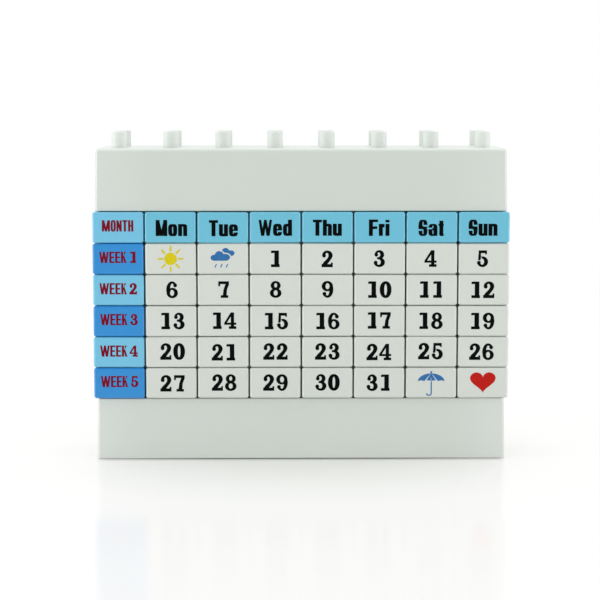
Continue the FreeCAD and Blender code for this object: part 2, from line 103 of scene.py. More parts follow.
class Wire:
    """An output of a node. Arithmetic on it adds Math nodes to its tree."""

    def __init__(self, tree: "Tree", socket: bpy.types.NodeSocket) -> None:
        """Wraps a socket of a tree."""
        self.tree = tree
        self.socket = socket

    def math(self, operation: str, *operands: "Wire | float") -> "Wire":
        """Adds a Math node.

        Args:
            operation: The Math node's operation.
            operands: Its inputs, in order.

        Returns:
            The node's result.
        """
        made = self.tree.add("ShaderNodeMath", {"operation": operation}, dict(enumerate(operands)))
        return made[0]

    def __add__(self, other: "Wire | float") -> "Wire":
        """The sum."""
        return self.math("ADD", self, other)

    def __radd__(self, other: float) -> "Wire":
        """The sum with a number on the left."""
        return self.math("ADD", other, self)

    def __sub__(self, other: "Wire | float") -> "Wire":
        """The difference."""
        return self.math("SUBTRACT", self, other)

    def __rsub__(self, other: float) -> "Wire":
        """The difference from a number."""
        return self.math("SUBTRACT", other, self)

    def __mul__(self, other: "Wire | float") -> "Wire":
        """The product."""
        return self.math("MULTIPLY", self, other)

    def __rmul__(self, other: float) -> "Wire":
        """The product with a number on the left."""
        return self.math("MULTIPLY", other, self)

    def __truediv__(self, other: "Wire | float") -> "Wire":
        """The quotient."""
        return self.math("DIVIDE", self, other)

    def absolute(self) -> "Wire":
        """The value without its sign."""
        return self.math("ABSOLUTE", self)

    def at_most(self, other: "Wire | float") -> "Wire":
        """The smaller of two values."""
        return self.math("MINIMUM", self, other)

    def at_least(self, other: "Wire | float") -> "Wire":
        """The larger of two values."""
        return self.math("MAXIMUM", self, other)


class Made:
    """A node just added, whose outputs are read by place, name or identifier."""

    def __init__(self, tree: "Tree", node: bpy.types.Node) -> None:
        """Wraps a node of a tree."""
        self.tree = tree
        self.node = node

    def __getitem__(self, key: int | str) -> Wire:
        """The output of that place, name or identifier."""
        return Wire(self.tree, find_socket(self.node.outputs, key))


def find_socket(sockets: Sockets, key: int | str) -> bpy.types.NodeSocket:
    """Finds a socket by its place, its identifier or its name.

    Args:
        sockets: A node's inputs or outputs.
        key: The place, identifier or name.

    Returns:
        The socket.
    """
    if isinstance(key, int):
        return sockets[key]
    for socket in sockets:
        if socket.identifier == key:
            return socket
    return sockets[key]


class Tree:
    """A node tree under construction."""

    def __init__(self, nodes: bpy.types.NodeTree) -> None:
        """Starts from an empty tree."""
        self.nodes = nodes
        nodes.nodes.clear()

    def add(self, kind: str, settings: dict | None = None, inputs: dict | None = None) -> Made:
        """Adds a node of any type.

        Args:
            kind: The node's type.
            settings: Its properties, which are set first. A ramp's stops go under "stops".
            inputs: Values, wires or lists of wires for its inputs.

        Returns:
            The node.
        """
        node = self.nodes.nodes.new(kind)
        for name, value in (settings or {}).items():
            if name == "stops":
                self._set_stops(node.color_ramp, value)
            else:
                setattr(node, name, value)
        for key, value in (inputs or {}).items():
            socket = find_socket(node.inputs, key)
            for one in value if isinstance(value, list) else [value]:
                if isinstance(one, Wire):
                    self.nodes.links.new(one.socket, socket)
                else:
                    socket.default_value = one
        return Made(self, node)

    @staticmethod
    def _set_stops(ramp: bpy.types.ColorRamp, stops: list[tuple[float, Colour]]) -> None:
        """Gives a ramp its stops, each a place and a colour.

        Args:
            ramp: The ramp.
            stops: The stops, in order.
        """
        while len(ramp.elements) < len(stops):
            ramp.elements.new(1.0)
        for element, (place, colour) in zip(ramp.elements, stops):
            element.position = place
            element.color = (*colour, 1.0)


class Shader(Tree):
    """A material under construction, on Object coordinates."""

    def __init__(self, name: str) -> None:
        """Makes the material and its coordinate node.

        Args:
            name: The material's name.
        """
        self.material = bpy.data.materials.new(name)
        self.material.use_nodes = True
        super().__init__(self.material.node_tree)
        self.place = self.add("ShaderNodeTexCoord")["Object"]

    def noise(self, grain_mm: float, detail: float = 0.0) -> Wire:
        """Smooth noise.

        Args:
            grain_mm: The size of its grain, in millimetres.
            detail: How many finer octaves it has.

        Returns:
            The noise, from 0 to 1.
        """
        scale = 1 / (grain_mm * MM)
        inputs = {"Vector": self.place, "Scale": scale, "Detail": detail}
        return self.add("ShaderNodeTexNoise", None, inputs)["Fac"]

    def mix(self, share: Wire, low: Colour | Wire, high: Colour | Wire) -> Wire:
        """Mixes two colours.

        Args:
            share: How much of the second colour there is.
            low: The first colour.
            high: The second colour.

        Returns:
            The mixed colour.
        """
        ends = [end if isinstance(end, Wire) else (*end, 1.0) for end in (low, high)]
        inputs = {"Factor_Float": share, "A_Color": ends[0], "B_Color": ends[1]}
        return self.add("ShaderNodeMix", {"data_type": "RGBA"}, inputs)["Result_Color"]

    def bumped(self, height: Wire, distance: float) -> Wire:
        """Adds relief to the normal.

        Args:
            height: The relief, from 0 to 1.
            distance: Its full height, in metres.

        Returns:
            The normal.
        """
        return self.add("ShaderNodeBump", None, {"Height": height, "Distance": distance})["Normal"]

    def surface(self, inputs: dict) -> bpy.types.Material:
        """Ends the material in a Principled shader.

        Args:
            inputs: The shader's inputs.

        Returns:
            The material.
        """
        made = self.add("ShaderNodeBsdfPrincipled", None, inputs)
        self.add("ShaderNodeOutputMaterial", None, {"Surface": made["BSDF"]})
        return self.material


def toned(colour: Colour, dark: float, light: float) -> list[Colour]:
    """The colour darkened by one share, and lightened by another."""
    return [tuple(min(1.0, part * (1 + share)) for part in colour) for share in (-dark, light)]


@dataclass(frozen=True)
class Plastic:
    """A gloss moulding plastic, as it comes from a polished mould."""

    name: str
    colour: Colour
    roughness: float = 0.2
    roughness_spread: float = 0.025
    tone_spread: float = 0.008
    flow_mm: float = 21.0
    handling_mm: float = 6.0
    sink_mm: float = 14.0
    sink_depth_mm: float = 0.03
    # Painted light: how much the colour is lightened toward both ends along X, and where that lightening
    # climbs.
    rim_gain: float = 0.0
    rim_x_mm: tuple[float, float] = (46.0, 63.0)
    # Painted light: how much the colour is lightened toward the bottom, and the heights where that
    # lightening climbs.
    low_gain: float = 0.0
    low_z_mm: tuple[float, float] = (60.0, 15.0)
    # Painted light: how much the pegs on top are lightened. peg_haze makes them rougher, and the heights
    # are where both climb.
    peg_gain: float = 0.0
    peg_haze: float = 0.25
    peg_z_mm: tuple[float, float] = (95.0, 97.0)

    def material(self) -> bpy.types.Material:
        """Builds the material: flow lines in the tone, handling marks in the gloss and faint sink marks,
        and, where asked, painted light that lightens the colour toward the ends, toward the bottom and
        on the pegs.

        Returns:
            The material.
        """
        shader = Shader(self.name)
        tone = shader.noise(self.flow_mm)
        colour = shader.mix(tone, *toned(self.colour, self.tone_spread, self.tone_spread))
        handling = shader.noise(self.handling_mm)
        gloss = self.roughness + self.roughness_spread * (handling - 0.5)
        # Painted light: the colour is mixed toward white near the ends, toward the bottom and on the
        # pegs, standing in for light that falls there.
        if self.rim_gain:
            place = shader.add("ShaderNodeSeparateXYZ", None, {0: shader.place})
            # Painted light: lighter toward both ends along X, standing in for side light on the ends.
            rim = self._rise(place["X"].absolute(), self.rim_x_mm) * self.rim_gain
            # Painted light: lighter toward the bottom, standing in for light thrown up from the table
            # onto the base.
            low = self._rise(place["Z"], self.low_z_mm) * self.low_gain
            # Painted light on the pegs' colour, and a rougher gloss there too.
            peg = self._rise(place["Z"], self.peg_z_mm)
            colour = shader.mix(rim + low + peg * self.peg_gain, colour, (1.0, 1.0, 1.0))
            gloss = gloss + peg * self.peg_haze
        sink = shader.bumped(shader.noise(self.sink_mm), self.sink_depth_mm * MM)
        return shader.surface({"Base Color": colour, "Roughness": gloss, "Normal": sink})

    @staticmethod
    def _rise(value: Wire, ends_mm: tuple[float, float]) -> Wire:
        """A share that climbs from 0 to 1 between two places, given in millimetres."""
        start, end = (place * MM for place in ends_mm)
        return ((value - start) / (end - start)).at_least(0.0).at_most(1.0)


@dataclass(frozen=True)
class Ink:
    """A printed ink, with a slightly uneven coat."""

    name: str
    colour: Colour
    roughness: float = 0.5
    roughness_spread: float = 0.15
    tone_spread: float = 0.12
    coat_mm: float = 0.9
    specular: float = 0.06

    def material(self) -> bpy.types.Material:
        """Builds the material.

        Returns:
            The material.
        """
        shader = Shader(self.name)
        coat = shader.noise(self.coat_mm, 3.0)
        colour = shader.mix(coat, *toned(self.colour, self.tone_spread, self.tone_spread))
        inputs = {"Base Color": colour, "Specular IOR Level": self.specular}
        inputs["Roughness"] = self.roughness + self.roughness_spread * (coat - 0.5)
        return shader.surface(inputs)


@dataclass(frozen=True)
class Plating:
    """Zinc plating on a small screw."""

    name: str
    colour: Colour
    roughness: float = 0.34
    roughness_spread: float = 0.2
    crystal_mm: float = 0.35
    crystal_dark: float = 0.12
    crystal_light: float = 0.08

    def material(self) -> bpy.types.Material:
        """Builds the material.

        Returns:
            The material.
        """
        shader = Shader(self.name)
        crystal = shader.noise(self.crystal_mm, 3.0)
        colour = shader.mix(crystal, *toned(self.colour, self.crystal_dark, self.crystal_light))
        gloss = self.roughness + self.roughness_spread * (crystal - 0.5)
        return shader.surface({"Base Color": colour, "Roughness": gloss, "Metallic": 1.0})


class Finish(Enum):
    """The finishes of the calendar, under the names of the record's slots where they have one."""

    # The body's colour is painted lighter toward its ends, its bottom and its pegs: painted light.
    BODY_WHITE = Plastic(
        "body_gloss",
        srgb(208, 216, 209),
        roughness=0.27,
        roughness_spread=0.01,
        rim_gain=0.12,
        low_gain=0.06,
        peg_gain=0.25,
    )
    DRAWER_WHITE = Plastic("drawer_satin", srgb(208, 216, 209), roughness=0.4, sink_depth_mm=0.002)
    TILE_WHITE = Plastic("white_tile_gloss", srgb(214, 219, 213), flow_mm=9.0)
    TILE_HEADER = Plastic("header_tile_gloss", srgb(108, 191, 217), flow_mm=9.0)
    TILE_LIGHT_BLUE = Plastic("light_tile_gloss", srgb(116, 194, 227), flow_mm=9.0)
    TILE_DARK_BLUE = Plastic("dark_tile_gloss", srgb(42, 141, 212), flow_mm=9.0)
    SCREW_STEEL = Plating("zinc_plate", (0.55, 0.55, 0.56))
    INK_BLACK = Ink("ink_black", srgb(3, 5, 6))
    INK_RED = Ink("ink_red", srgb(122, 12, 34))
    INK_HEART = Ink("ink_heart", srgb(188, 32, 26))
    INK_BLUE = Ink("ink_blue", srgb(56, 113, 170))
    INK_YELLOW = Ink("ink_yellow", srgb(216, 200, 34))

    @cache
    def material(self) -> bpy.types.Material:
        """The finish's material, built once."""
        return self.value.material()


def slot_finish(slot: str) -> Finish:
    """The finish of one of the record's slots."""
    return Finish[slot.upper()]


def node_slots() -> dict[str, str]:
    """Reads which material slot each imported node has."""
    return {part["node"]: part["material_slot"] for part in frame["record"]["subparts"]}


def node_bodies() -> dict[str, str]:
    """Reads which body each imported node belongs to."""
    bodies = frame["record"]["behaviour"]["bodies"]
    return {node: body for body, nodes in bodies.items() for node in nodes}


def new_object(name: str, mesh: bpy.types.Mesh) -> bpy.types.Object:
    """Puts a mesh into the scene.

    Args:
        name: Its name.
        mesh: The mesh.

    Returns:
        The object.
    """
    made = bpy.data.objects.new(name, mesh)
    bpy.context.scene.collection.objects.link(made)
    return made


def flatten(pieces: list[bpy.types.Object]) -> None:
    """Turns each piece's modifiers into a plain mesh.

    Args:
        pieces: The pieces, which lose their modifiers.
    """
    depsgraph = bpy.context.evaluated_depsgraph_get()
    meshes = [bpy.data.meshes.new_from_object(piece.evaluated_get(depsgraph)) for piece in pieces]
    for piece, mesh in zip(pieces, meshes):
        piece.modifiers.clear()
        piece.data = mesh


def weigh_normals(piece: bpy.types.Object) -> None:
    """Keeps large flat faces flat beside rounded edges.

    Args:
        piece: The piece, which gets a modifier.
    """
    weigher = piece.modifiers.new("flat_faces", "WEIGHTED_NORMAL")
    weigher.keep_sharp = True
    weigher.weight = 100


def dress(piece: bpy.types.Object, node: str) -> None:
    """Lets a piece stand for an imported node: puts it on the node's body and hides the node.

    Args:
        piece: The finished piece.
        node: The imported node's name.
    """
    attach(piece, BODIES[node])
    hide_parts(node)
    SLOTS[node]


SLOTS = node_slots()
BODIES = node_bodies()


@dataclass
class Mouldings:
    """The body's mouldings and the drawer, with the small radii that a mould leaves on every edge."""

    names: tuple[str, ...] = (
        "head_cap", "peg_panel", "back_cover", "base_shell", "base_plate", "drawer_tray"
    )
    edge_radius: float = 0.2 * MM
    slim: tuple[str, ...] = ("base_shell", "base_plate")
    slim_radius: float = 0.07 * MM
    edge_steps: int = 3
    weld: float = 0.001 * MM
    flat_turn: float = math.radians(0.5)
    sharp_turn: float = math.radians(30)

    def build(self) -> list[bpy.types.Object]:
        """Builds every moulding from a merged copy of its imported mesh.

        Returns:
            The pieces.
        """
        pieces = [self._eased_copy(name) for name in self.names]
        flatten(pieces)
        for piece, name in zip(pieces, self.names):
            piece.data.materials.clear()
            piece.data.materials.append(slot_finish(SLOTS[name]).material())
            dress(piece, name)
            LOG.info("%s: %d faces", piece.name, len(piece.data.polygons))
        return pieces

    def _eased_copy(self, name: str) -> bpy.types.Object:
        """A copy of a node with its triangles merged into flat faces and its edges rounded.

        Args:
            name: The node's name.

        Returns:
            The copy, with its modifiers live.
        """
        work = bmesh.new()
        work.from_mesh(frame["nodes"][name].data)
        bmesh.ops.remove_doubles(work, verts=work.verts, dist=self.weld)
        parts = {"verts": work.verts, "edges": work.edges}
        bmesh.ops.dissolve_limit(work, angle_limit=self.flat_turn, delimit=set(), **parts)
        for face in work.faces:
            face.smooth = True
        for edge in work.edges:
            edge.smooth = edge.calc_face_angle(0.0) < self.sharp_turn
        mesh = bpy.data.meshes.new(name + "_moulding")
        work.to_mesh(mesh)
        work.free()
        piece = new_object(name + "_moulding", mesh)
        rounding = piece.modifiers.new("eased_edges", "BEVEL")
        rounding.limit_method = "ANGLE"
        rounding.angle_limit = self.sharp_turn
        rounding.width = self.slim_radius if name in self.slim else self.edge_radius
        rounding.segments = self.edge_steps
        rounding.use_clamp_overlap = False
        weigh_normals(piece)
        return piece


class FormTree(Tree):
    """A Geometry Nodes tree with named inputs, which ends in real instances and a material."""

    def __init__(self, name: str, inputs: dict[str, str]) -> None:
        """Makes the tree.

        Args:
            name: The tree's name.
            inputs: The name and socket type of each input.
        """
        group = bpy.data.node_groups.new(name, "GeometryNodeTree")
        super().__init__(group)
        group.interface.new_socket("Geometry", in_out="OUTPUT", socket_type="NodeSocketGeometry")
        self.keys: dict[str, str] = {}
        for title, kind in {**inputs, "Material": "NodeSocketMaterial"}.items():
            made = group.interface.new_socket(title, in_out="INPUT", socket_type=kind)
            self.keys[title] = made.identifier
        self.given = self.add("NodeGroupInput")

    def box(self, size: tuple[Wire | float, ...], centre: tuple[Wire | float, ...]) -> Wire:
        """A plain box.

        Args:
            size: Its three sizes.
            centre: Its middle.

        Returns:
            The box's geometry.
        """
        cube = self.add("GeometryNodeMeshCube", None, {"Size": self.vector(size)})["Mesh"]
        return self.moved(cube, centre)

    def moved(
        self,
        geometry: Wire,
        by: tuple[Wire | float, ...] | Wire,
        turn: Wire | None = None,
    ) -> Wire:
        """The geometry, turned and then moved.

        Args:
            geometry: What is moved.
            by: How far.
            turn: How it is turned first, if at all.

        Returns:
            The geometry in its new place.
        """
        inputs = {"Geometry": geometry, "Translation": by if isinstance(by, Wire) else self.vector(by)}
        if turn is not None:
            inputs["Rotation"] = turn
        return self.add("GeometryNodeTransform", None, inputs)["Geometry"]

    def vector(self, parts: tuple[Wire | float, ...]) -> Wire:
        """A vector of three parts."""
        return self.add("ShaderNodeCombineXYZ", None, dict(enumerate(parts)))["Vector"]

    def parts(self, vector: Wire) -> tuple[Wire, Wire, Wire]:
        """The three parts of a vector."""
        made = self.add("ShaderNodeSeparateXYZ", None, {"Vector": vector})
        return made["X"], made["Y"], made["Z"]

    def cut(self, first: Wire, others: list[Wire]) -> Wire:
        """Cuts solids out of another.

        Args:
            first: The solid that is cut.
            others: What is cut out of it.

        Returns:
            The new solid.
        """
        settings = {"operation": "DIFFERENCE", "solver": "EXACT"}
        inputs = {"Mesh 1": first, "Mesh 2": others}
        return self.add("GeometryNodeMeshBoolean", settings, inputs)["Mesh"]

    def end(self, geometry: Wire, sharp_turn: float) -> None:
        """Ends the tree: real instances, one material, smooth faces between sharp edges.

        Args:
            geometry: The finished form.
            sharp_turn: The angle from which an edge is sharp, in radians.
        """
        real = self.add("GeometryNodeRealizeInstances", None, {"Geometry": geometry})["Geometry"]
        smooth = self.add("GeometryNodeSetShadeSmooth", {"domain": "FACE"}, {"Geometry": real})
        turn = self.add("GeometryNodeInputMeshEdgeAngle")["Unsigned Angle"]
        sharp = turn.math("GREATER_THAN", turn, sharp_turn)
        inputs = {"Geometry": smooth["Geometry"], "Selection": sharp, "Shade Smooth": False}
        edged = self.add("GeometryNodeSetShadeSmooth", {"domain": "EDGE"}, inputs)["Geometry"]
        inputs = {"Geometry": edged, "Material": self.given["Material"]}
        painted = self.add("GeometryNodeSetMaterial", None, inputs)["Geometry"]
        self.add("NodeGroupOutput", None, {0: painted})

    def piece(self, name: str, values: dict, material: bpy.types.Material) -> bpy.types.Object:
        """An object that this tree makes.

        Args:
            name: The object's name.
            values: A value for each named input.
            material: Its material.

        Returns:
            The object, with its modifier live.
        """
        made = new_object(name, bpy.data.meshes.new(name))
        modifier = made.modifiers.new("form", "NODES")
        modifier.node_group = self.nodes
        for title, value in {**values, "Material": material}.items():
            modifier[self.keys[title]] = value
        return made


@dataclass
class TileForm:
    """A push-on tile: a rounded cap, hollow behind, with crossed ribs that grip a peg."""

    corner: float = 0.75 * MM
    steps: int = 4
    weld_share: float = 0.01
    wall: float = 1.2 * MM
    face: float = 1.1 * MM
    rib: float = 1.0 * MM
    rib_recess: float = 0.6 * MM
    grip: float = 4.86 * MM
    overrun: float = 1.0 * MM
    sharp_turn: float = math.radians(40)

    def tree(self) -> FormTree:
        """Builds the tile's tree: inputs for its size, place and small turn.

        Returns:
            The tree. The tile's middle lies at its origin and its front faces -Y.
        """
        names = ("Width", "Depth", "Height", "Corner", "Wall", "Face", "Rib", "Recess", "Grip")
        sizes = {name: "NodeSocketFloat" for name in names}
        tree = FormTree("tile", {**sizes, "Place": "NodeSocketVector", "Turn": "NodeSocketRotation"})
        wide, deep, tall, corner, wall, face, rib, recess, grip = (tree.given[name] for name in names)
        cap = self._rounded_cap(tree, (wide, deep, tall), corner)
        inside = (wide - 2 * wall, tall - 2 * wall)
        well_deep = deep - face
        over = self.overrun
        middle = face / 2 + over / 2

        def pocket(across: Wire | float, upward: Wire | float) -> Wire:
            """A box from the face's back out through the rim."""
            return tree.box((across, well_deep + over, upward), (0.0, middle, 0.0))

        rib_deep = well_deep - recess
        rib_middle = face / 2 - recess / 2

        def crossbar(across: Wire, upward: Wire) -> Wire:
            """A rib from the face's back to its recess behind the rim, longer than the well is wide."""
            return tree.box((across, rib_deep, upward), (0.0, rib_middle, 0.0))

        ribs = [crossbar(inside[0] + over, rib), crossbar(rib, inside[1] + over)]
        well = tree.cut(pocket(*inside), ribs)
        hollow = tree.cut(cap, [well])
        gripped = tree.cut(hollow, [pocket(grip, grip)])
        placed = tree.moved(gripped, tree.given["Place"], tree.given["Turn"])
        tree.end(placed, self.sharp_turn)
        return tree

    def _rounded_cap(self, tree: FormTree, size: tuple[Wire, Wire, Wire], corner: Wire) -> Wire:
        """A box whose front and side edges are rounded.

        Each vertex is pulled to a fixed distance from the box inside the corners.

        Args:
            tree: The tile's tree.
            size: The box's three sizes.
            corner: The radius of the edges.

        Returns:
            The box's geometry.
        """
        count = 2 * self.steps + 2
        counts = {f"Vertices {axis}": count for axis in "XYZ"}
        cube = tree.add("GeometryNodeMeshCube", None, {"Size": tree.vector(size), **counts})["Mesh"]
        place = tree.parts(tree.add("GeometryNodeInputPosition")["Position"])
        spread = [self._spread(tree, part, span / 2, corner) for part, span in zip(place, size)]
        limits = [span / 2 - corner for span in size]
        far = [limits[0], size[1] / 2, limits[2]]
        core = [part.at_least(limit * -1).at_most(end) for part, limit, end in zip(spread, limits, far)]
        offset = tree.vector(tuple(part - inner for part, inner in zip(spread, core)))
        away = tree.add("ShaderNodeVectorMath", {"operation": "NORMALIZE"}, {0: offset})[0]
        settings = {"operation": "MULTIPLY_ADD"}
        reach = tree.vector((corner, corner, corner))
        inputs = {0: away, 1: reach, 2: tree.vector(tuple(core))}
        rounded = tree.add("ShaderNodeVectorMath", settings, inputs)[0]
        moved = tree.add("GeometryNodeSetPosition", None, {"Geometry": cube, "Position": rounded})
        inputs = {"Geometry": moved["Geometry"], "Distance": self.corner * self.weld_share}
        return tree.add("GeometryNodeMergeByDistance", None, inputs)["Geometry"]

    def _spread(self, tree: FormTree, part: Wire, half: Wire, corner: Wire) -> Wire:
        """Crowds a coordinate's even steps into the corners, at even angles.

        Args:
            tree: The tile's tree.
            part: The coordinate.
            half: Half the cap's size along it.
            corner: The radius of the edges.

        Returns:
            The new coordinate.
        """
        cells = 2 * self.steps + 1
        step = (part.absolute() / half * cells - 1) / 2
        lean = step.math("TANGENT", step * (math.radians(45) / self.steps))
        return (half - corner + corner * lean) * part.math("SIGN", part)

    def values(self, size: Vector, place: Vector, turn: Euler) -> dict:
        """The tree's input values for one tile.

        Args:
            size: The tile's size.
            place: Its middle.
            turn: Its small turn.

        Returns:
            A value for each named input.
        """
        sizes = {"Width": size.x, "Depth": size.y, "Height": size.z, "Corner": self.corner}
        walls = {"Wall": self.wall, "Face": self.face}
        ribs = {"Rib": self.rib, "Recess": self.rib_recess, "Grip": self.grip}
        return {**sizes, **walls, **ribs, "Place": place, "Turn": turn}


def covers(outline: list[Point], x: float, y: float) -> bool:
    """Tells whether an outline goes round a point.

    Args:
        outline: The outline's corners.
        x: The point's place across.
        y: The point's height.

    Returns:
        True where the point is inside.
    """
    inside = False
    for here, there in zip(outline, outline[1:] + outline[:1]):
        if (here[1] > y) != (there[1] > y):
            share = (y - here[1]) / (there[1] - here[1])
            if x < here[0] + share * (there[0] - here[0]):
                inside = not inside
    return inside


class Sheet:
    """Flat shapes painted one over another, cut into faces of one ink each."""

    weld = 1e-5

    def __init__(self) -> None:
        """Starts with no shapes."""
        self.shapes: list[tuple[list[Point], Finish | None]] = []

    def paint(self, outline: list[Point], ink: Finish | None) -> None:
        """Lays a shape over the others.

        Args:
            outline: Its corners, in metres.
            ink: Its ink, or None to leave the tile bare there.
        """
        pairs = zip(outline, outline[1:] + outline[:1])
        turning = sum(here[0] * there[1] - there[0] * here[1] for here, there in pairs)
        self.shapes.append((outline if turning > 0 else outline[::-1], ink))

    def _ink_at(self, place: Vector) -> Finish | None:
        """The ink of the last shape that covers a place.

        Args:
            place: The place, in metres.

        Returns:
            The ink, or None where the tile stays bare.
        """
        for outline, ink in reversed(self.shapes):
            if covers(outline, place.x, place.y):
                return ink
        return None

    def mesh(self, name: str, front: float, back: float) -> bpy.types.Mesh:
        """Builds a thin closed plate for each stretch of ink.

        Args:
            name: The mesh's name.
            front: The plate's front, along Y.
            back: The plate's back, along Y.

        Returns:
            The mesh, with one material for each ink.
        """
        corners, edges = [], []
        for outline, _ in self.shapes:
            first, count = len(corners), len(outline)
            corners += [Vector(point) / MM for point in outline]
            edges += [(first + step, first + (step + 1) % count) for step in range(count)]
        points, _, cells, *_ = delaunay_2d_cdt(corners, edges, [], 0, self.weld, False)
        points = [point * MM for point in points]
        middles = [sum((points[corner] for corner in cell), Vector((0, 0))) / 3 for cell in cells]
        inked = [(cell, self._ink_at(middle)) for cell, middle in zip(cells, middles)]
        painted = [(cell, ink) for cell, ink in inked if ink is not None]
        inks = sorted({ink for _, ink in painted}, key=lambda ink: ink.name)
        mesh = bpy.data.meshes.new(name)
        for ink in inks:
            mesh.materials.append(ink.material())
        work = bmesh.new()
        layers = [[work.verts.new((x, y, z)) for x, z in points] for y in (front, back)]
        edges = {}
        for cell, ink in painted:
            for layer, order in zip(layers, (cell, cell[::-1])):
                work.faces.new([layer[corner] for corner in order]).material_index = inks.index(ink)
            for here, there in zip(cell, cell[1:] + cell[:1]):
                edges[here, there] = ink
        for (here, there), ink in edges.items():
            if edges.get((there, here)) is None:
                wall = [layers[0][there], layers[0][here], layers[1][here], layers[1][there]]
                work.faces.new(wall).material_index = inks.index(ink)
        unused = [vert for vert in work.verts if not vert.link_faces]
        bmesh.ops.delete(work, geom=unused, context="VERTS")
        work.to_mesh(mesh)
        work.free()
        return mesh


@dataclass(frozen=True)
class Stroke:
    """A form of a glyph or picture, in shares of its height, that paints or bares what lies below."""

    corners: tuple[Point, ...]
    bare: bool = False

    def __neg__(self) -> "Stroke":
        """The same form, baring."""
        return Stroke(self.corners, True)

    def spun(self) -> "Stroke":
        """The stroke, turned half round about the middle of its glyph."""
        return Stroke(tuple((-x, 1 - y) for x, y in self.corners), self.bare)


def form(*corners: Point) -> Stroke:
    """A form with straight sides."""
    return Stroke(corners)


def bar(left: float, low: float, right: float, high: float) -> Stroke:
    """An upright rectangle."""
    return form((left, low), (right, low), (right, high), (left, high))


def oval(left: float, low: float, right: float, high: float, square: float = 2.0) -> Stroke:
    """An oval.

    Args:
        left: Its left edge.
        low: Its lowest point.
        right: Its right edge.
        high: Its highest point.
        square: 2 for an ellipse, and more for squarer shoulders.

    Returns:
        The oval.
    """
    middle_x, middle_y = (left + right) / 2, (low + high) / 2
    half_x, half_y = (right - left) / 2, (high - low) / 2
    corners = []
    for step in range(OVAL_STEPS):
        turn = math.tau * (step + 0.5) / OVAL_STEPS
        parts = math.cos(turn), math.sin(turn)
        x, y = (math.copysign(abs(part) ** (2 / square), part) for part in parts)
        corners.append((middle_x + x * half_x, middle_y + y * half_y))
    return form(*corners)


def ring(
    left: float, low: float, right: float, high: float, stroke: Point, square: float
) -> list[Stroke]:
    """An oval ring.

    Args:
        left: Its left edge.
        low: Its lowest point.
        right: Its right edge.
        high: Its highest point.
        stroke: How thick it is at its sides, and above and below.
        square: 2 for an ellipse, and more for squarer shoulders.

    Returns:
        The oval and the smaller oval that bares its middle.
    """
    side, top = stroke
    inner = oval(left + side, low + top, right - side, high - top, square)
    return [oval(left, low, right, high, square), -inner]


@dataclass
class Pen:
    """Draws strokes on a sheet, from a place on the tile."""

    sheet: Sheet
    ink: Finish
    x: float
    y: float
    height: float

    def draw(self, *strokes: Stroke) -> None:
        """Paints or bares each stroke in turn.

        Args:
            strokes: The strokes.
        """
        for stroke in strokes:
            points = [(self.x + x * self.height, self.y + y * self.height) for x, y in stroke.corners]
            self.sheet.paint(points, None if stroke.bare else self.ink)

    def shifted(self, along: float) -> "Pen":
        """The pen at the foot of a glyph, some shares of its height further right."""
        return replace(self, x=self.x + along * self.height, y=self.y - self.height / 2)


